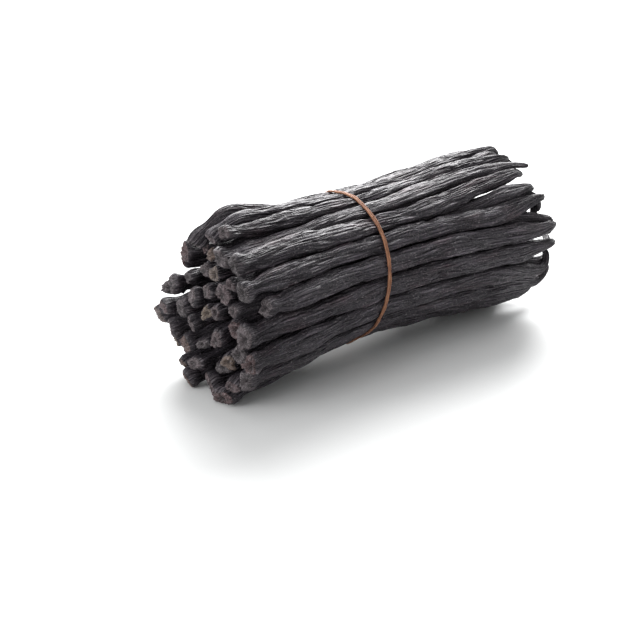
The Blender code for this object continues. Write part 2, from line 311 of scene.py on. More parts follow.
@functools.lru_cache(maxsize=4)
def lay_pods(pod_length, pod_radius):
    """One dictionary for each pod: its centre line, its radius at each station, and its two ends."""
    rng = np.random.default_rng(SEED)
    x = (np.arange(STATIONS) - (STATIONS - 1) / 2) * STATION_STEP
    rings = start_in_rings(rng)
    body = pod_radius + RADIUS_SPREAD * rng.uniform(-1, 1, (POD_COUNT, 1))
    body = body * (1 + SWELL * slow_curves(rng, 7))
    butt = BUTT_STAGGER * rng.uniform(-1, 1, POD_COUNT)
    butt += BUTT_SHORTFALL * rng.uniform(0, 1, POD_COUNT) ** 6
    butt += SET_BACK * share_towards(rings, SET_BACK_ANGLE) ** 2 + POD_MIDDLE_X - pod_length / 2
    butt -= REACH_OUT * share_towards(rings, REACH_ANGLE)
    tip = POD_MIDDLE_X + pod_length / 2 + TIP_STAGGER * rng.uniform(-1, 0.8, POD_COUNT)
    radius = body * section_share(x - butt[:, None], tip[:, None] - x)
    room = np.maximum(radius, body * np.interp(x, *zip(*BUTT_ROOM)))
    outline = np.interp(x, *zip(*OUTLINE))
    axis_z = AXIS_HEIGHT - np.interp(x, *zip(*AXIS_DROOP))

    centre = np.stack([slow_curves(rng, 5), slow_curves(rng, 5)], axis=2) * WANDER + rings[:, None]
    centre *= (outline / outline.max())[:, None]
    spread = TIP_SPREAD * np.clip(x / pod_length, 0, None)
    centre = pack(centre, room, outline, radius - axis_z, spread)

    pods = []
    for i in range(POD_COUNT):
        line = np.column_stack([x, centre[i, :, 0], centre[i, :, 1] + axis_z])
        splay = centre[i, 1] / np.linalg.norm(centre[i, 1]) + rng.uniform(-0.8, 0.8, 2)
        curl = -HOOK_INWARD * centre[i, -2] / np.linalg.norm(centre[i, -2]) + rng.uniform(-1, 1, 2)
        pods.append({
            "index": i,
            "line": line,
            "body": body[i],
            "butt": butt[i],
            "tip": tip[i],
            "splay": splay,
            "curl": curl / np.linalg.norm(curl),
            "turn": rng.uniform(*HOOK_TURN),
            "arch": None,
        })
    direction = (math.cos(SHORT_POD[0]), math.sin(SHORT_POD[0]))
    pods[(centre[:, ARCH_STATION] @ direction).argmax()]["butt"] += SHORT_POD[1]
    for arch in ARCHES:
        direction = (math.cos(arch[0]), math.sin(arch[0]))
        arched = pods[(centre[:, ARCH_STATION] @ direction).argmax()]
        arched["arch"] = arch
        arched["butt"] = arch[5] + POD_MIDDLE_X - pod_length / 2
    return pods


def through_stations(values, x):
    """A smooth curve through the values at the stations, read at places along X."""
    place = np.clip(x / STATION_STEP + (STATIONS - 1) / 2, 0, STATIONS - 1.001)
    k = np.clip(place.astype(int), 1, STATIONS - 3)
    t = place - k
    if values.ndim > 1:
        t = t[:, None]
    before, here, there, after = values[k - 1], values[k], values[k + 1], values[k + 2]
    slope = (there - before) / 2
    next_slope = (after - here) / 2
    rest = there - here
    bend = 3 * rest - 2 * slope - next_slope + t * (slope + next_slope - 2 * rest)
    return here + t * (slope + t * bend)


def pod_line(pod, place):
    """Points along a pod's middle and its radii, at distances from its cut end."""
    length = pod["tip"] - pod["butt"]
    straight = length - HOOK_LENGTH
    x = pod["butt"] + np.minimum(place, straight)
    points = through_stations(pod["line"], x)
    points[:, 0] = x
    points[:, 1:] += BUTT_SPLAY * (np.clip(1 - place / SPLAY_LENGTH, 0, None) ** 2)[:, None] * pod["splay"]
    if pod["arch"]:
        _, crest, rise, drop, lean, _ = pod["arch"]
        along = place / crest
        points[:, 1] += lean * np.clip(1 - along, 0, None)
        points[:, 2] += rise * np.exp(-((along - 1) ** 2) * 1.2) - drop * np.clip(1 - along, 0, None) ** 1.6
    turned = pod["turn"] * np.clip((place - straight) / HOOK_LENGTH, 0, 1)
    bend_radius = HOOK_LENGTH / pod["turn"]
    aside = bend_radius * (1 - np.cos(turned))
    hook = [bend_radius * np.sin(turned), aside * pod["curl"][0], aside * pod["curl"][1]]
    points += np.column_stack(hook)
    radius = through_stations(pod["body"], pod["butt"] + place) * section_share(place, length - place)
    points[:, 2] = np.maximum(points[:, 2], radius - PRESSED)
    return points, radius


# ---------------------------------------------------------------- the skin of a pod


def ripples(rng, turn, place, around, along, drift=0.0):
    """Smooth random heights from -1 to 1 over a pod's skin, in cells around it, `along` metres long."""
    lattice = rng.uniform(-1, 1, (int(place.max() / along) + 3, around))
    u = turn / math.tau * around + drift + np.zeros((len(place), 1))
    v = place[:, None] / along + np.zeros(u.shape)
    i = np.floor(u).astype(int)
    j = np.floor(v).astype(int)
    fu = u - i
    fv = v - j
    fu = fu * fu * (3 - 2 * fu)
    fv = fv * fv * (3 - 2 * fv)
    here = lattice[j, i % around] * (1 - fu) + lattice[j, (i + 1) % around] * fu
    there = lattice[j + 1, i % around] * (1 - fu) + lattice[j + 1, (i + 1) % around] * fu
    return here * (1 - fv) + there * fv


def creases(rng, turn, place, around, along, drift):
    """0 in the creases between a pod's long ridges, 1 on the ridges: cells around it, `along` metres long."""
    rows = int(place.max() / along) + 4
    spot = rng.uniform(0.1, 0.9, (2, rows, around))
    u = turn / math.tau * around + drift
    v = place[:, None] / along + 1 + np.zeros(u.shape)
    i = np.floor(u).astype(int)
    j = np.floor(v).astype(int)
    nearest = np.full(u.shape, 9.0)
    second = nearest.copy()
    for row in (j - 1, j, j + 1):
        held = np.clip(row, 0, rows - 1)
        for column in (i - 1, i, i + 1):
            across = column + spot[0, held, column % around] - u
            ahead = row + spot[1, held, column % around] - v
            distance = np.hypot(across, ahead)
            second = np.minimum(second, np.maximum(nearest, distance))
            nearest = np.minimum(nearest, distance)
    return np.clip((second - nearest) / CREASE_WIDTH, 0, 1) ** CREASE_ROUNDING


def ring_frames(points):
    """Two directions square to the line at each point, carried along it without twisting."""
    tangent = np.gradient(points, axis=0)
    tangent /= np.linalg.norm(tangent, axis=1)[:, None]
    first = np.zeros_like(points)
    held = np.array((0.0, 1.0, 0.0))
    for k, ahead in enumerate(tangent):
        held = held - ahead * (held @ ahead)
        held /= np.linalg.norm(held)
        first[k] = held
    return tangent, first, np.cross(tangent, first)


def ring_places(length, detail):
    """Where along a pod its rings stand: close together at its ends."""
    butt_rings, body_rings, tip_rings, _ = detail
    return np.concatenate([
        np.linspace(0, BUTT_FINE, butt_rings, endpoint=False),
        np.linspace(BUTT_FINE, length - TIP_FINE, body_rings, endpoint=False),
        np.linspace(length - TIP_FINE, length, tip_rings),
    ])


def squeezed(pod, pods, middle, radius, aims, free):
    """How far the skin reaches in each direction when the pods beside it press it flat where they meet."""
    held = free ** -SQUEEZE_SHARPNESS
    for other in pods:
        if other is pod:
            continue
        place = middle[:, 0] - other["butt"]
        beside = (place > 0) & (place < other["tip"] - other["butt"] - HOOK_LENGTH)
        if not beside.any():
            continue
        centre, other_radius = pod_line(other, np.where(beside, place, 0))
        away = centre[:, 1:] - middle[:, 1:]
        distance = np.linalg.norm(away, axis=1)
        beside &= distance < NEIGHBOUR_REACH * (radius + other_radius)
        if not beside.any():
            continue
        share = (distance ** 2 + radius ** 2 - other_radius ** 2) / (2 * distance)
        share = np.maximum(share, LEAST_SHARE * radius) - SKIN_GAP
        facing = (aims[..., 1:] * (away / distance[:, None])[:, None]).sum(axis=2)
        pressed = np.clip(facing, 0, None) / share[:, None]
        held += np.where(beside[:, None], pressed ** SQUEEZE_SHARPNESS, 0)
    return held ** (-1 / SQUEEZE_SHARPNESS)


def tie_x(angle):
    """The leaning tie's place along X, at an angle from +Y about the bundle's axis."""
    return TIE_X + TIE_LEAN * TIE_RADIUS * np.sin(angle)


def pod_skin(pod, pods, detail, wrinkle_share):
    """The rings of one pod from its cut face to its tip, and what its materials read at each point."""
    rng = np.random.default_rng(SEED + 100 + pod["index"])
    around = detail[3]
    length = pod["tip"] - pod["butt"]
    place = ring_places(length, detail)
    middle, radius = pod_line(pod, place)
    tangent, first, second = ring_frames(middle)
    turn = np.arange(around) * math.tau / around
    cosine, sine = np.cos(turn), np.sin(turn)
    aims = cosine[None, :, None] * first[:, None] + sine[None, :, None] * second[:, None]

    # Uneven section: flattened and keeled, turning slowly along the pod
    outward = middle[:, 1:] - (0, AXIS_HEIGHT)
    out_first = (outward * first[:, 1:]).sum(axis=1)
    out_second = (outward * second[:, 1:]).sum(axis=1)
    out_turn = np.arctan2(out_second, out_first)[:, None]
    flat = rng.uniform(*FLATTENING)
    keel = rng.uniform(*KEEL)
    keel_turn = rng.uniform(0, math.tau) + place[:, None] * rng.uniform(-KEEL_TWIST, KEEL_TWIST)
    shape = 1 - flat * np.cos(2 * (turn - out_turn)) + keel * np.cos(3 * (turn - keel_turn))
    knob = np.clip(1 - place / KNOB_LENGTH, 0, 1)[:, None]
    knob_turn = rng.uniform(0, math.tau, 3)
    lumps = rng.uniform(KNOB_LEAST, KNOB_MOST)
    round_lumps = sum(lumps[k] * np.cos((k + 1) * turn - knob_turn[k - 1]) for k in (1, 2, 3))
    shape += knob * (lumps[0] + round_lumps)
    shape *= 1 + GIRTH_SPREAD * ripples(rng, turn[:1], place, 1, GIRTH_LENGTH)
    neck = rng.uniform(*NECK_DEPTH) * np.exp(-(((place - NECK_PLACE) / NECK_WIDTH) ** 2))
    shape *= (1 - neck)[:, None]
    reach = squeezed(pod, pods, middle, radius, aims, radius[:, None] * PLUMP * shape)

    # Folds and wrinkles run along the pod and wander a little: rounded ridges between sharp creases
    drift = 0.7 * ripples(rng, turn, place, 4, 22 * MM) + 0.18 * ripples(rng, turn, place, 7, 9 * MM)
    fold = creases(rng, turn, place, FOLDS_AROUND, FOLD_LENGTH, drift)
    drift = 2.2 * drift + 0.35 * ripples(rng, turn, place, 11, 7 * MM)
    wrinkle = creases(rng, turn, place, WRINKLES_AROUND, WRINKLE_LENGTH, drift)
    swell = ripples(rng, turn, place, 5, 11 * MM)
    dent = np.clip(ripples(rng, turn, place, 4, 9 * MM) - DENT_RARITY, 0, 1)
    mean_radius = pod["body"].mean()
    depth = wrinkle_share * np.clip(radius / mean_radius, THIN_SKIN_SHARE, 1)[:, None]
    height = (fold - 1) * FOLD_DEPTH * (0.7 + 0.5 * swell) + (wrinkle - 1) * WRINKLE_DEPTH
    # How far each point stands out of the creases, which sets how much painted crease shade it takes
    groove = np.clip(1 + height / (0.8 * (FOLD_DEPTH + WRINKLE_DEPTH)), 0, 1)
    height += SWELL_HEIGHT * swell - DENT_DEPTH * dent

    # The tie presses in where it crosses
    angle = np.arctan2(middle[:, 2] - AXIS_HEIGHT, middle[:, 1])
    near_tie = np.exp(-(((middle[:, 0] - tie_x(angle)) / PINCH_WIDTH) ** 2))[:, None]
    outer = np.clip(np.cos(turn - out_turn), 0, 1) ** 2
    reach = reach + height * depth - TIE_PINCH * near_tie * outer
    rings = middle[:, None] + reach[..., None] * aims

    # The cut face closes the butt end, and a blunt cap closes the tip
    face_tilt = rng.uniform(0, FACE_TILT)
    face_turn = rng.uniform(0, math.tau)
    fullness = rng.uniform(*FULLNESS)
    dimple = rng.uniform(*DIMPLE)
    rough = FACE_ROUGHNESS * ripples(rng, turn, np.arange(len(CUT_FACE)) * MM, 8, 1.5 * MM)
    pit = rng.uniform(-PIT_OFFSET, PIT_OFFSET, 2)
    pit_depth = rng.uniform(*PIT_DEPTH)
    end_reach = reach[0][:, None]
    end_lean = face_tilt * reach[0] * np.cos(turn - face_turn)
    creased = 1 - wrinkle[0]
    hollow = []
    face = []
    for k, (share, out) in enumerate(CUT_FACE):
        from_pit = np.hypot(share * cosine - pit[0], PIT_OVAL * (share * sine - pit[1]))
        in_pit = np.exp(-((from_pit / PIT_WIDTH) ** 2))
        # How much painted shade the cut face takes, low for darker: in the pit, in the dips of the rough
        # face, and where the skin's creases reach its rim
        hollow.append(1 - 0.8 * in_pit + rough[k] / MM - 0.6 * share * creased)
        out = fullness * out - dimple * (1 - share) ** 1.5 + min(share * 1.6, 1) * rough[k]
        out = out - pit_depth * in_pit - PUCKER * share * creased + share * end_lean
        face.append(middle[0] + share * end_reach * aims[0] - out[:, None] * tangent[0])
    blend = np.clip(1 - place / TILT_LENGTH, 0, 1)[:, None]
    rings -= (blend * end_lean)[..., None] * tangent[0]
    tip_reach = reach[-1][:, None]
    tip = [middle[-1] + share * tip_reach * aims[-1] + out * tangent[-1] for share, out in TIP_CAP]
    rings = np.concatenate([np.array(face[::-1]), rings, np.array(tip)])
    poles = (face[-1].mean(axis=0), middle[-1] + TIP_CAP[-1][1] * tangent[-1])

    # What the materials read, ring by ring: the straightened pod, the grooves, which set the painted crease
    # shade, and the way from the cut end
    face_place = -np.arange(len(CUT_FACE), 0, -1) * FACE_STEP
    tip_place = length + np.arange(1, len(TIP_CAP) + 1) * TIP_STEP
    spread_place = np.concatenate([face_place, place, tip_place])
    straight = np.zeros(rings.shape)
    straight[..., 0] = mean_radius * cosine
    straight[..., 1] = mean_radius * sine
    straight[..., 2] = spread_place[:, None] + POD_SPACING * pod["index"]
    groove = np.concatenate([np.array(hollow[::-1]), groove, np.full((len(TIP_CAP), around), TIP_GROOVE)])
    from_butt = np.broadcast_to(np.clip(spread_place, 0, None)[:, None], groove.shape)
    return {
        "rings": rings,
        "poles": poles,
        "straight": straight,
        "groove": groove,
        "from_butt": from_butt,
        "tone": rng.uniform(0, 1),
    }


def skins_mesh(name, skins):
    """One mesh of several pods, with their materials' values and a flat layout of their skins."""
    points, faces, layout, slots = [], [], [], []
    straight, groove, from_butt, tone = [], [], [], []
    strip = 1 / len(skins)
    start = 0
    for row, skin in enumerate(skins):
        count, around = skin["rings"].shape[:2]
        low, high = (row + 0.03) * strip, (row + 0.97) * strip
        across = low + (high - low) * np.arange(around + 1) / around
        along = 0.01 + 0.98 * np.linspace(0, 1, count + 2)
        points.append(skin["rings"].reshape(-1, 3))
        points.append(np.array(skin["poles"]))
        ring, k = np.meshgrid(np.arange(count - 1), np.arange(around), indexing="ij")
        after = (k + 1) % around
        here, ahead = ring * around + start, (ring + 1) * around + start
        quads = np.stack([here + k, here + after, ahead + after, ahead + k], -1)
        faces.extend(quads.reshape(-1, 4).tolist())
        flat = np.stack([along[ring + 1], across[k], along[ring + 1], across[k + 1],
                         along[ring + 2], across[k + 1], along[ring + 2], across[k]], -1)
        layout.append(flat.reshape(-1))
        slots.append((ring < len(CUT_FACE)).astype(int).reshape(-1))
        butt_pole = start + count * around
        last = start + (count - 1) * around
        for k in range(around):
            after = (k + 1) % around
            faces.append([butt_pole, start + after, start + k])
            faces.append([butt_pole + 1, last + k, last + after])
            middle = (across[k] + across[k + 1]) / 2
            layout.append((along[0], middle, along[1], across[k + 1], along[1], across[k]))
            layout.append((along[-1], middle, along[-2], across[k], along[-2], across[k + 1]))
        slots.append(np.tile((1, 0), around))
        for held, values in ((groove, skin["groove"]), (from_butt, skin["from_butt"])):
            held.append(values.reshape(-1))
            held.append(np.array((values[0].mean(), values[-1].mean())))
        straight.append(skin["straight"].reshape(-1, 3))
        straight.append(skin["straight"][[0, -1]].mean(axis=1))
        tone.append(np.full(count * around + 2, skin["tone"]))
        start += count * around + 2
    mesh = bpy.data.meshes.new(name)
    mesh.from_pydata(np.concatenate(points).tolist(), [], faces)
    uv = mesh.uv_layers.new(name="OFBake")
    uv.data.foreach_set("uv", np.concatenate(layout).astype(np.float32))
    mesh.polygons.foreach_set("material_index", np.concatenate(slots).astype(np.int32))
    mesh.polygons.foreach_set("use_smooth", np.ones(len(mesh.polygons), bool))
    for label, kind, values, key in (
        ("straight", "FLOAT_VECTOR", straight, "vector"),
        ("groove", "FLOAT", groove, "value"),
        ("from_butt", "FLOAT", from_butt, "value"),
        ("tone", "FLOAT", tone, "value"),
    ):
        attribute = mesh.attributes.new(label, kind, "POINT")
        attribute.data.foreach_set(key, np.concatenate(values).astype(np.float32).reshape(-1))
    mesh.update()
    return mesh


# ---------------------------------------------------------------- the tie


def taut_reach(section, angle):
    """How far a taut strand round a section lies from the axis: straight from high spot to high spot."""
    turns = np.linspace(-TAUT_TURN, TAUT_TURN, TAUT_STEPS)
    normals = np.column_stack([np.cos(angle + turns), np.sin(angle + turns)])
    support = (section @ normals.T).max(axis=0)
    return (support / np.cos(turns)).min()


def over_pods(points, x, angle, lift):
    """A place over the pods at X, at an angle from +Y, lifted off the line of their high spots."""
    section = points[np.abs(points[:, 0] - x) < TIE_SLICE][:, 1:] - (0, AXIS_HEIGHT)
    reach = taut_reach(section, angle) + lift
    return np.array((x, reach * math.cos(angle), AXIS_HEIGHT + reach * math.sin(angle)))


def strand(route, half_width, half_height, across, closed):
    """Rings of an oval strand along a route. `across` is the way its width lies, square to the route."""
    route = np.array(route)
    if closed:
        ahead = np.roll(route, -1, axis=0) - np.roll(route, 1, axis=0)
    else:
        ahead = np.gradient(route, axis=0)
    ahead /= np.linalg.norm(ahead, axis=1)[:, None]
    across = across - (across * ahead).sum(axis=1)[:, None] * ahead
    across /= np.linalg.norm(across, axis=1)[:, None]
    up = np.cross(ahead, across)
    turn = np.arange(TIE_SIDES) * math.tau / TIE_SIDES
    wide = np.cos(turn)[None, :, None] * across[:, None] * np.asarray(half_width).reshape(-1, 1, 1)
    high = np.sin(turn)[None, :, None] * up[:, None] * np.asarray(half_height).reshape(-1, 1, 1)
    return route[:, None] + wide + high


def strands_mesh(name, parts):
    """One mesh of several strands, each (rings, closed), with how far along and around each point lies."""
    points, faces, layout, fibre = [], [], [], []
    start = 0
    for row, (rings, closed) in enumerate(parts):
        count, sides = rings.shape[:2]
        steps = np.linalg.norm(np.diff(rings.mean(axis=1), axis=0), axis=1)
        along = np.concatenate([[0], np.cumsum(steps)])
        low, high = (row + 0.05) / len(parts), (row + 0.95) / len(parts)
        across = low + (high - low) * np.arange(sides + 1) / sides
        points.append(rings.reshape(-1, 3))
        turn = np.arange(sides) * math.tau / sides
        here = np.broadcast_arrays(MM * np.cos(turn)[None], MM * np.sin(turn)[None], along[:, None] + row)
        fibre.append(np.stack(here, -1).reshape(-1, 3))
        for i in range(count if closed else count - 1):
            after = (i + 1) % count
            u0, u1 = i / count, (i + 1) / count
            for k in range(sides):
                side = (k + 1) % sides
                faces.append([start + i * sides + k, start + i * sides + side,
                              start + after * sides + side, start + after * sides + k])
                layout.extend((u0, across[k], u0, across[k + 1], u1, across[k + 1], u1, across[k]))
        if not closed:
            faces.append([start + k for k in reversed(range(sides))])
            faces.append([start + (count - 1) * sides + k for k in range(sides)])
            for k in reversed(range(sides)):
                layout.extend((0.002 + END_DISC * math.cos(turn[k]), low + END_DISC * math.sin(turn[k])))
            for k in range(sides):
                layout.extend((0.997 + END_DISC * math.cos(turn[k]), low + END_DISC * math.sin(turn[k])))
        start += count * sides
    mesh = bpy.data.meshes.new(name)
    mesh.from_pydata(np.concatenate(points).tolist(), [], faces)
    mesh.uv_layers.new(name="OFBake").data.foreach_set("uv", np.array(layout, np.float32))
    attribute = mesh.attributes.new("fibre", "FLOAT_VECTOR", "POINT")
    attribute.data.foreach_set("vector", np.concatenate(fibre).astype(np.float32).reshape(-1))
    mesh.polygons.foreach_set("use_smooth", np.ones(len(mesh.polygons), bool))
    mesh.update()
    return mesh


def loop_ply(points, side, width, height):
    """One of the tie's two plies, side by side round the pods. `side` is -1 or 1."""
    rng = np.random.default_rng(SEED + 7 + side)
    size, phase = rng.uniform(-1, 1, (2, WAVERS))
    route, widths = [], []
    for angle in np.arange(TIE_RINGS) * math.tau / TIE_RINGS:
        sway = sum(size[k] * math.sin((k + 1) * angle + 6 * phase[k]) / (k + 2) for k in range(WAVERS))
        x = tie_x(angle) + side * width + SIDEWAYS * sway
        route.append(over_pods(points, x, angle, height + OFF_PODS * abs(sway)))
        widths.append(width * (1 + WIDTH_SPREAD * sway))
    return strand(route, widths, height, np.tile((1.0, 0, 0), (TIE_RINGS, 1)), True)


def knot_parts(points, width, height):
    """The hitch on the far side: turns wound tight round both plies, and the two ends that leave it."""
    parts = []
    centre = over_pods(points, tie_x(KNOT_ANGLE), KNOT_ANGLE, height)
    outward = np.array((0, math.cos(KNOT_ANGLE), math.sin(KNOT_ANGLE)))
    ahead = np.array((0, -math.sin(KNOT_ANGLE), math.cos(KNOT_ANGLE)))
    aside = np.array((1.0, 0, 0))
    turns = np.linspace(0, KNOT_TURNS * math.tau, KNOT_RINGS)
    share = turns / turns[-1] - 0.5
    wide = KNOT_RADIUS * (1.18 - 1.1 * share ** 2)
    route = centre + (0.5 * KNOT_RADIUS) * outward + (np.cos(turns) * wide)[:, None] * aside
    route = route + (np.sin(turns) * wide * 0.8)[:, None] * outward + (share * KNOT_LENGTH)[:, None] * ahead
    across = np.broadcast_to(ahead, route.shape)
    parts.append((strand(route, width * 1.5, height * 1.1, across, False), False))
    steps = np.linspace(0, 1, END_RINGS)
    thin = np.interp(steps, (0, 0.9, 1), (1.25, 1.1, 0.5))
    across = np.tile((1.0, 0, 0), (END_RINGS, 1))
    for side, reach, run in TIE_ENDS:
        route = []
        for t in steps:
            angle = KNOT_ANGLE + side * reach * t / AXIS_HEIGHT
            lift = height * 1.2 + END_RISE * math.sin(math.pi * (0.2 + 0.8 * t)) * (1 - 0.3 * t)
            route.append(over_pods(points, tie_x(KNOT_ANGLE) + run * t, angle, lift))
        parts.append((strand(route, width * thin, height * thin, across, False), False))
    return parts


# ---------------------------------------------------------------- materials


# Shades that aren't in the panel. The crease and pit shades are painted shade, not the pods' own colour
CREASE_PAINTED_SHADE = "#1f1b21"
NEAR_CUT_SHADE = "#5f585c"
CELL_WALL_SHADE = "#141112"
PIT_PAINTED_SHADE = "#120f10"


def srgb(colour):
    """A #rrggbb colour as three sRGB values from 0 to 1."""
    return tuple(int(colour[k:k + 2], 16) / 255 for k in (1, 3, 5))


def linear(colour):
    """An sRGB colour, as #rrggbb or as the panel's three values, in the linear values that a shader takes."""
    values = srgb(colour) if isinstance(colour, str) else colour
    return [c / 12.92 if c <= 0.04045 else ((c + 0.055) / 1.055) ** 2.4 for c in values] + [1]


def add(material, kind, inputs=None, **settings):
    """A node in a material, with its settings, and each input given a value or linked to another's output."""
    tree = material.node_tree
    node = tree.nodes.new(kind)
    for key, value in settings.items():
        setattr(node, key, value)
    for key, value in (inputs or {}).items():
        if isinstance(value, bpy.types.NodeSocket):
            tree.links.new(value, node.inputs[key])
        else:
            node.inputs[key].default_value = value
    return node


def new_material(name):
    """An empty material of nodes."""
    material = bpy.data.materials.new(name)
    material.use_nodes = True
    material.node_tree.nodes.clear()
    return material


def skin_values(material):
    """What a pod's mesh says at each point: its place on the straightened pod, then the single values."""
    place = add(material, "ShaderNodeAttribute", attribute_name="straight").outputs["Vector"]
    singles = [add(material, "ShaderNodeAttribute", attribute_name=name).outputs["Fac"]
               for name in ("groove", "tone", "from_butt")]
    return place, *singles


def patterns(material, place, table):
    """A random pattern for each row of a table: the size of its spots in metres, how many times longer
    they are along the pod, how many finer layers it has, and how strong those are."""
    found = []
    for size, stretch, detail, roughness in table:
        inputs = {"Vector": place, "Scale": (1 / size, 1 / size, 1 / size / stretch)}
        spread = add(material, "ShaderNodeMapping", inputs).outputs[0]
        inputs = {"Vector": spread, "Scale": 1.0, "Detail": detail, "Roughness": roughness}
        found.append(add(material, "ShaderNodeTexNoise", inputs).outputs["Fac"])
    return found


def layered(material, colour, layers):
    """Colours laid over a first one. Each layer has the value that it follows, the two ends of the range
    that counts, how much it covers at each end, and its colour."""
    for value, low, high, cover_low, cover_high, over in layers:
        inputs = {"Value": value, "From Min": low, "From Max": high,
                  "To Min": cover_low, "To Max": cover_high}
        cover = add(material, "ShaderNodeMapRange", inputs).outputs["Result"]
        inputs = {0: cover, 6: colour, 7: linear(over)}
        colour = add(material, "ShaderNodeMix", inputs, data_type="RGBA").outputs[2]
    return colour


def pod_skin_material(name, look):
    """Cured vanilla pod skin, sweated and sun-dried: nearly black, with a soft sheen on the oily ridges,
    matt in the creases, where shade is painted darker."""
    material = new_material(name)
    place, groove, tone, from_butt = skin_values(material)

    # Wavering of 3 mm; grain of 0.35 mm; streaks of 1 mm and browner patches of 6 mm, both along the pod;
    # specks of dust of 0.5 mm; and oily spots of 0.8 mm
    warp, grain, streaks, patches, specks, oily = patterns(material, place, (
        (3 * MM, 2.0, 2.0, 0.5),
        (0.35 * MM, 2.5, 2.0, 0.6),
        (1.0 * MM, 12.0, 3.0, 0.5),
        (6 * MM, 2.5, 2.0, 0.5),
        (0.5 * MM, 1.6, 2.0, 0.6),
        (0.8 * MM, 4.0, 3.0, 0.65),
    ))

    # Fine ridges, 1 mm wide and 16 mm long, with creases between them, bumped in and painted darker as shade
    inputs = {0: (0.9 * MM, 0.9 * MM, 0), "Scale": warp}
    pushed = add(material, "ShaderNodeVectorMath", inputs, operation="SCALE").outputs[0]
    wavy = add(material, "ShaderNodeVectorMath", {0: place, 1: pushed}, operation="ADD").outputs[0]
    inputs = {"Vector": wavy, "Scale": (1 / (1.0 * MM), 1 / (1.0 * MM), 1 / (16 * MM))}
    cells = add(material, "ShaderNodeMapping", inputs).outputs[0]
    inputs = {"Vector": cells, "Scale": 1.0}
    edges = add(material, "ShaderNodeTexVoronoi", inputs, feature="DISTANCE_TO_EDGE").outputs["Distance"]
    ridge = add(material, "ShaderNodeMapRange", {"Value": edges, "From Max": 0.22}).outputs["Result"]

    colour = layered(material, linear(look.skin_dark), (
        (streaks, 0.35, 0.68, 0.0, 1.0, look.skin_light),
        (patches, 0.52, 0.70, 0.0, 0.6, look.skin_brown),
        (tone, 0.0, 1.0, 0.0, 0.3, look.skin_light),
        (from_butt, 0.3 * MM, 3 * MM, 0.75, 0.0, NEAR_CUT_SHADE),
        # Painted shade: the creases between the fine ridges, and those of the folds and wrinkles, painted
        # darker
        (ridge, 0.0, 0.8, 0.9, 0.0, CREASE_PAINTED_SHADE),
        (groove, 0.25, 0.85, 0.9, 0.0, CREASE_PAINTED_SHADE),
        (specks, 0.56, 0.74, 0.0, 0.6, look.dust),
    ))
    inputs = {"Value": oily, "From Min": 0.3, "From Max": 0.75, "To Min": 0.44, "To Max": 0.66}
    roughness = add(material, "ShaderNodeMapRange", inputs).outputs["Result"]

    inputs = {"Height": ridge, "Strength": 1.0, "Distance": 0.45 * MM}
    creased = add(material, "ShaderNodeBump", inputs).outputs["Normal"]
    inputs = {"Height": grain, "Strength": 0.6, "Distance": 0.10 * MM, "Normal": creased}
    grained = add(material, "ShaderNodeBump", inputs).outputs["Normal"]
    inputs = {"Base Color": colour, "Roughness": roughness, "Normal": grained,
              "IOR": 1.46, "Specular IOR Level": 0.46}
    shader = add(material, "ShaderNodeBsdfPrincipled", inputs)
    add(material, "ShaderNodeOutputMaterial", {"Surface": shader.outputs[0]})
    return material


def cut_end_material(name, look):
    """The cut and dried end of a pod: a corky callus, browner, paler and more matt than the skin."""
    material = new_material(name)
    place, groove, tone, _ = skin_values(material)

    # Each pod's callus dried to its own shade
    callus = add(material, "ShaderNodeValToRGB", {"Fac": tone})
    shades = ((0.0, "#4a4547"), (0.3, "#5f575a"), (0.5, "#5d4545"), (0.72, "#665d61"),
              (0.86, look.cut_end), (1.0, "#664c49"))
    stops = callus.color_ramp.elements
    while len(stops) < len(shades):
        stops.new(0.5)
    for stop, (position, shade) in zip(stops, shades):
        stop.position = position
        stop.color = linear(shade)

    # Corky cells, drawn 0.8 mm wide because true ones are too fine to show, and specks of dust of 0.5 mm
    cork, specks = patterns(material, place, ((0.8 * MM, 1.0, 3.0, 0.6), (0.5 * MM, 1.0, 2.0, 0.6)))
    colour = layered(material, callus.outputs["Color"], (
        (cork, 0.35, 0.65, 0.8, 0.0, CELL_WALL_SHADE),
        # Painted shade in the cut face's pit, in its dips and where the skin's creases reach its rim
        (groove, 0.1, 0.8, 0.8, 0.0, PIT_PAINTED_SHADE),
        (specks, 0.54, 0.70, 0.0, 0.7, look.dust),
    ))
    inputs = {"Height": cork, "Strength": 1.0, "Distance": 0.5 * MM}
    corky = add(material, "ShaderNodeBump", inputs).outputs["Normal"]
    inputs = {"Base Color": colour, "Roughness": 0.58, "Normal": corky,
              "IOR": 1.45, "Specular IOR Level": 0.42}
    shader = add(material, "ShaderNodeBsdfPrincipled", inputs)
    add(material, "ShaderNodeOutputMaterial", {"Surface": shader.outputs[0]})
    return material


def tie_material(name, look):
    """Split bast fibre, twisted by hand: dull orange-brown, with fine light and dark lines along it."""
    material = new_material(name)
    place = add(material, "ShaderNodeAttribute", attribute_name="fibre").outputs["Vector"]

    # Fibres 0.25 mm wide along the strand, and stains of 5 mm
    fibres, stains = patterns(material, place, ((0.25 * MM, 14.0, 3.0, 0.6), (5 * MM, 1.0, 2.0, 0.5)))
    colour = layered(material, linear(look.tie_dark), (
        (fibres, 0.36, 0.62, 0.0, 1.0, look.tie_light),
        (stains, 0.45, 0.70, 0.0, 0.6, look.tie_dark),
    ))
    inputs = {"Height": fibres, "Strength": 1.0, "Distance": 0.25 * MM}
    fibrous = add(material, "ShaderNodeBump", inputs).outputs["Normal"]
    inputs = {"Base Color": colour, "Roughness": 0.66, "Normal": fibrous, "IOR": 1.5}
    shader = add(material, "ShaderNodeBsdfPrincipled", inputs)
    add(material, "ShaderNodeOutputMaterial", {"Surface": shader.outputs[0]})
    return material


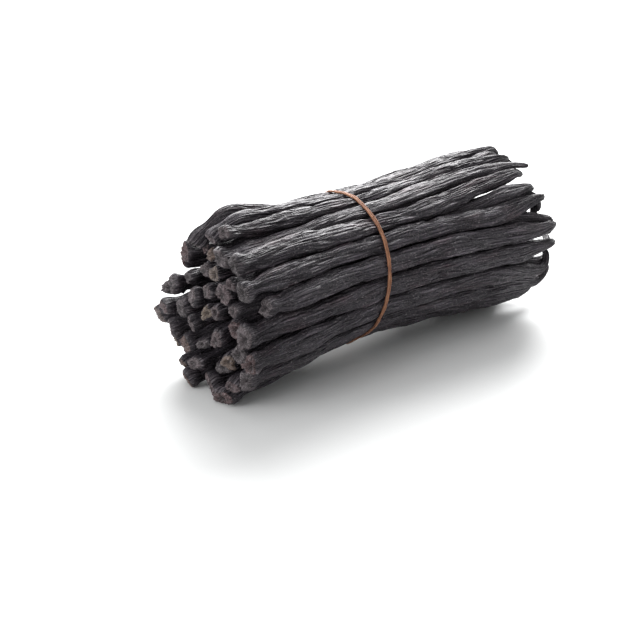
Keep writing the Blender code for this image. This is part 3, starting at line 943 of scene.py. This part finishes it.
def floor_material(name, look):
    """Matt white studio paper: it only shows soft shadows."""
    material = new_material(name)
    place = add(material, "ShaderNodeTexCoord").outputs["Object"]

    # Paper fibre, drawn 6 mm wide because it is too fine to show
    [fibre] = patterns(material, place, ((6 * MM, 1.0, 2.0, 0.5),))
    paper = linear(look.floor)
    faint = [0.985 * c for c in paper[:3]] + [1]
    colour = add(material, "ShaderNodeMix", {0: fibre, 6: paper, 7: faint}, data_type="RGBA").outputs[2]
    shader = add(material, "ShaderNodeBsdfPrincipled", {"Base Color": colour, "Roughness": 0.8})
    add(material, "ShaderNodeOutputMaterial", {"Surface": shader.outputs[0]})
    return material


# ---------------------------------------------------------------- what a user may change


def colour_property(name, hex_colour, description):
    """A colour for the panel, given as #rrggbb."""
    return FloatVectorProperty(
        name=name, description=description, subtype="COLOR_GAMMA",
        size=3, min=0, max=1, default=srgb(hex_colour))


class VanillaSizes(PropertyGroup):
    pod_length: FloatProperty(
        name="Pod length", description="Length of the middle pod, cut end to tip", default=153 * MM,
        min=0.12, max=0.156, unit="LENGTH", subtype="DISTANCE")
    pod_radius: FloatProperty(
        name="Pod radius", description="Mean radius of a pod's body", default=4.1 * MM,
        min=3.5 * MM, max=4.6 * MM, unit="LENGTH", subtype="DISTANCE")
    wrinkle_depth: FloatProperty(
        name="Wrinkles", description="How deep the skin has shrunk, as a share of the usual depth",
        default=1.0, min=0, max=1.6, subtype="FACTOR")
    strand_width: FloatProperty(
        name="Strand width", description="Half the width of one ply of the tie", default=0.40 * MM,
        min=0.3 * MM, max=0.7 * MM, unit="LENGTH", subtype="DISTANCE")
    strand_height: FloatProperty(
        name="Strand height", description="Half the height of one ply of the tie", default=0.40 * MM,
        min=0.3 * MM, max=0.6 * MM, unit="LENGTH", subtype="DISTANCE")


class VanillaColours(PropertyGroup):
    skin_dark: colour_property("Skin, dark", "#232024", "The darkest streaks of the pods' skin")
    skin_light: colour_property("Skin, light", "#514b53", "The lightest streaks of the pods' skin")
    skin_brown: colour_property("Skin, brown", "#4b363c", "Patches that dried browner")
    cut_end: colour_property("Cut ends", "#7d6f62", "The corky cut ends")
    dust: colour_property("Dust", "#8d8689", "Pale specks on the skin and on the cut ends")
    tie_light: colour_property("Tie, light", "#b78260", "The tie's outer fibres")
    tie_dark: colour_property("Tie, dark", "#5f3625", "Between the tie's fibres")
    floor: colour_property("Floor", "#d0d1d1", "The studio paper")


# ---------------------------------------------------------------- the pieces


def add_piece(name, mesh, materials, node):
    """An object of a mesh, moved to the frame's middle, that stands in for a node of the frame."""
    obj = bpy.data.objects.new(name, mesh)
    bpy.context.scene.collection.objects.link(obj)
    for material in materials:
        mesh.materials.append(material)
    mesh.transform(Matrix.Translation((-BOX_MIDDLE_X, 0, 0)))
    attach(obj, "root")
    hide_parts(node)


def ring_of(index):
    """Which ring of the layout a pod belongs to: 0 at the middle."""
    return int(np.searchsorted(np.cumsum(RING_COUNTS), index, side="right"))


@functools.lru_cache(maxsize=4)
def pod_skins(pod_length, pod_radius, wrinkle_share):
    """Every pod's skin, with each pod's ring in the layout."""
    pods = lay_pods(pod_length, pod_radius)
    details = {OUTER_RING: OUTER_DETAIL, OUTER_RING - 1: MIDDLE_DETAIL}
    skins = []
    for pod in pods:
        ring = ring_of(pod["index"])
        skin = pod_skin(pod, pods, details.get(ring, INNER_DETAIL), wrinkle_share)
        skin["rings"][..., 2] = above_table(skin["rings"][..., 2])
        skins.append((ring, skin))
    return skins


def above_table(height):
    """Heights near or under the table, pressed softly up to it."""
    pressed = TABLE_SOFTNESS * np.logaddexp(0, height / TABLE_SOFTNESS)
    return np.where(height > 3 * TABLE_SOFTNESS, height, pressed)


def current_skins():
    """Every pod's skin at the panel's sizes."""
    sizes = bpy.context.scene.vanilla_sizes
    return pod_skins(sizes.pod_length, sizes.pod_radius, sizes.wrinkle_depth)


def material_for(name, make):
    """The material of that name, made once in the panel's colours."""
    return bpy.data.materials.get(name) or make(name, bpy.context.scene.vanilla_colours)


def add_skins(label, skins, pods_each):
    """Pieces of a few pods each, numbered from 1."""
    materials = (
        material_for("cured_vanilla_pod_skin", pod_skin_material),
        material_for("dried_pod_callus", cut_end_material),
    )
    for k in range(0, len(skins), pods_each):
        name = f"{label}_{k // pods_each + 1}"
        add_piece(name, skins_mesh(name, skins[k:k + pods_each]), materials, "pod_bundle")


class VANILLA_OT_outer_pods(Operator):
    """Make the pods on the outside of the bundle"""
    bl_idname = "vanilla.outer_pods"
    bl_label = "Outer pods"

    def execute(self, context):
        add_skins("outer_pods", [skin for ring, skin in current_skins() if ring == OUTER_RING], 3)
        return {"FINISHED"}


class VANILLA_OT_inner_pods(Operator):
    """Make the pods inside the bundle, which show at both ends and through the gaps"""
    bl_idname = "vanilla.inner_pods"
    bl_label = "Inner pods"

    def execute(self, context):
        add_skins("inner_pods", [skin for ring, skin in current_skins() if ring < OUTER_RING], 6)
        return {"FINISHED"}


class VANILLA_OT_core(Operator):
    """Fill the hidden middle of the bundle, so that no light passes between the inner pods"""
    bl_idname = "vanilla.core"
    bl_label = "Core"

    def execute(self, context):
        route = [(x, 0, AXIS_HEIGHT) for x in np.linspace(*CORE_ENDS, CORE_RINGS)]
        across = np.tile((0, 1.0, 0), (CORE_RINGS, 1))
        rings = strand(route, CORE_RADIUS, CORE_RADIUS, across, False)
        mesh = strands_mesh("painted_shade_core", [(rings, False)])
        # The core has no grooves or places of its own, so it takes the skin's painted crease shade nearly all
        # over
        material = material_for("cured_vanilla_pod_skin", pod_skin_material)
        add_piece("painted_shade_core", mesh, [material], "pod_bundle")
        return {"FINISHED"}


class VANILLA_OT_tie(Operator):
    """Wind the tie round the bundle and knot it on the far side"""
    bl_idname = "vanilla.tie"
    bl_label = "Tie"

    def execute(self, context):
        sizes = context.scene.vanilla_sizes
        under = [skin["rings"] for ring, skin in current_skins() if ring >= OUTER_RING - 1]
        points = np.concatenate([rings.reshape(-1, 3) for rings in under])
        width, height = sizes.strand_width, sizes.strand_height
        parts = [(loop_ply(points, side, width, height), True) for side in (-1, 1)]
        parts += knot_parts(points, width, height)
        material = material_for("split_bast_fibre", tie_material)
        add_piece("bast_tie", strands_mesh("bast_tie", parts), [material], "tie")
        return {"FINISHED"}


# ---------------------------------------------------------------- the studio


FLOOR_HALF = 8.0
WORLD_LOW = 0.20
WORLD_HIGH = 1.15

# Square soft lights, all aimed at the bundle: watts, side in metres, and place
LIGHTS = {
    "soft_back": (43, 0.9, (0.60, 0.68, 0.66)),
    "soft_left": (7.5, 0.6, (-1.0, 0.15, 0.5)),
}
LIGHT_AIM = Vector((0, 0, 0.03))

# The camera: what it looks at, the direction and distance it looks from, its lens in millimetres, and how
# far it stands aside and down from that line
CAMERA_TARGET = Vector((0.0012, 0, 0.0340))
CAMERA_AZIMUTH = math.radians(-38.1)
CAMERA_HEIGHT = math.radians(24.5)
CAMERA_DISTANCE = 0.5
CAMERA_LENS = 71.66
FRAMING = Vector((0.01923, 0.02394))


def add_light(name, watts, side, place):
    """A square soft light aimed at the bundle."""
    data = bpy.data.lights.new(name, "AREA")
    data.energy = watts
    data.shape = "SQUARE"
    data.size = side
    light = bpy.data.objects.new(name, data)
    bpy.context.scene.collection.objects.link(light)
    light.location = place
    light.rotation_euler = (LIGHT_AIM - Vector(place)).to_track_quat("-Z", "Y").to_euler()


def studio_world():
    """Soft light from all round, brighter from above than from the level of the table."""
    world = bpy.data.worlds.new("studio_world")
    world.use_nodes = True
    world.node_tree.nodes.clear()
    towards = add(world, "ShaderNodeTexCoord").outputs["Generated"]
    height = add(world, "ShaderNodeSeparateXYZ", {0: towards}).outputs["Z"]
    inputs = {"Value": height, "To Min": WORLD_LOW, "To Max": WORLD_HIGH}
    strength = add(world, "ShaderNodeMapRange", inputs).outputs["Result"]
    background = add(world, "ShaderNodeBackground", {"Color": linear("#ffffff"), "Strength": strength})
    add(world, "ShaderNodeOutputWorld", {"Surface": background.outputs[0]})
    return world


def studio_floor():
    """A wide sheet of paper that everything lies on."""
    mesh = bpy.data.meshes.new("studio_floor")
    corners = [(x * FLOOR_HALF, y * FLOOR_HALF, 0) for x, y in ((-1, -1), (1, -1), (1, 1), (-1, 1))]
    mesh.from_pydata(corners, [], [(0, 1, 2, 3)])
    mesh.materials.append(material_for("white_studio_paper", floor_material))
    return bpy.data.objects.new("studio_floor", mesh)


def studio_camera():
    """A long lens that looks down on the cut ends and the near side."""
    back = Vector((math.sin(CAMERA_AZIMUTH) * math.cos(CAMERA_HEIGHT),
                   -math.cos(CAMERA_AZIMUTH) * math.cos(CAMERA_HEIGHT), math.sin(CAMERA_HEIGHT)))
    turn = (-back).to_track_quat("-Z", "Y")
    right, up = turn @ Vector((1, 0, 0)), turn @ Vector((0, 1, 0))
    data = bpy.data.cameras.new("studio_camera")
    data.lens = CAMERA_LENS
    data.sensor_width = 36
    data.clip_start = 0.01
    camera = bpy.data.objects.new("studio_camera", data)
    camera.location = CAMERA_TARGET + CAMERA_DISTANCE * back - right * FRAMING[0] - up * FRAMING[1]
    camera.rotation_euler = turn.to_euler()
    return camera


class VANILLA_OT_studio(Operator):
    """Set the pale floor, the soft lights and the camera round the bundle"""
    bl_idname = "vanilla.studio"
    bl_label = "Studio"

    def execute(self, context):
        scene = context.scene
        floor = studio_floor()
        scene.collection.objects.link(floor)
        scene.world = studio_world()
        for name, light in LIGHTS.items():
            add_light(name, *light)
        scene.camera = studio_camera()
        scene.collection.objects.link(scene.camera)
        scene.view_settings.view_transform = "Standard"
        return {"FINISHED"}


class VANILLA_PT_panel(Panel):
    bl_idname = "VANILLA_PT_panel"
    bl_label = "Vanilla pod bundle"
    bl_space_type = "VIEW_3D"
    bl_region_type = "UI"
    bl_category = "Vanilla"

    def draw(self, context):
        """List the sizes, the colours and the operators"""
        layout = self.layout
        for group in (context.scene.vanilla_sizes, context.scene.vanilla_colours):
            box = layout.box()
            for name in group.__annotations__:
                box.prop(group, name)
        for operator in OPERATORS:
            layout.operator(operator.bl_idname)


OPERATORS = (
    VANILLA_OT_outer_pods, VANILLA_OT_inner_pods, VANILLA_OT_core, VANILLA_OT_tie, VANILLA_OT_studio)
CLASSES = (VanillaSizes, VanillaColours, *OPERATORS, VANILLA_PT_panel)


def register():
    for one in CLASSES:
        bpy.utils.register_class(one)
    bpy.types.Scene.vanilla_sizes = PointerProperty(type=VanillaSizes)
    bpy.types.Scene.vanilla_colours = PointerProperty(type=VanillaColours)


def unregister():
    del bpy.types.Scene.vanilla_colours
    del bpy.types.Scene.vanilla_sizes
    for one in reversed(CLASSES):
        bpy.utils.unregister_class(one)


def main():
    register()
    bpy.ops.vanilla.outer_pods()
    bpy.ops.vanilla.inner_pods()
    bpy.ops.vanilla.core()
    bpy.ops.vanilla.tie()
    bpy.ops.vanilla.studio()


if __name__ == "__main__":
    main()
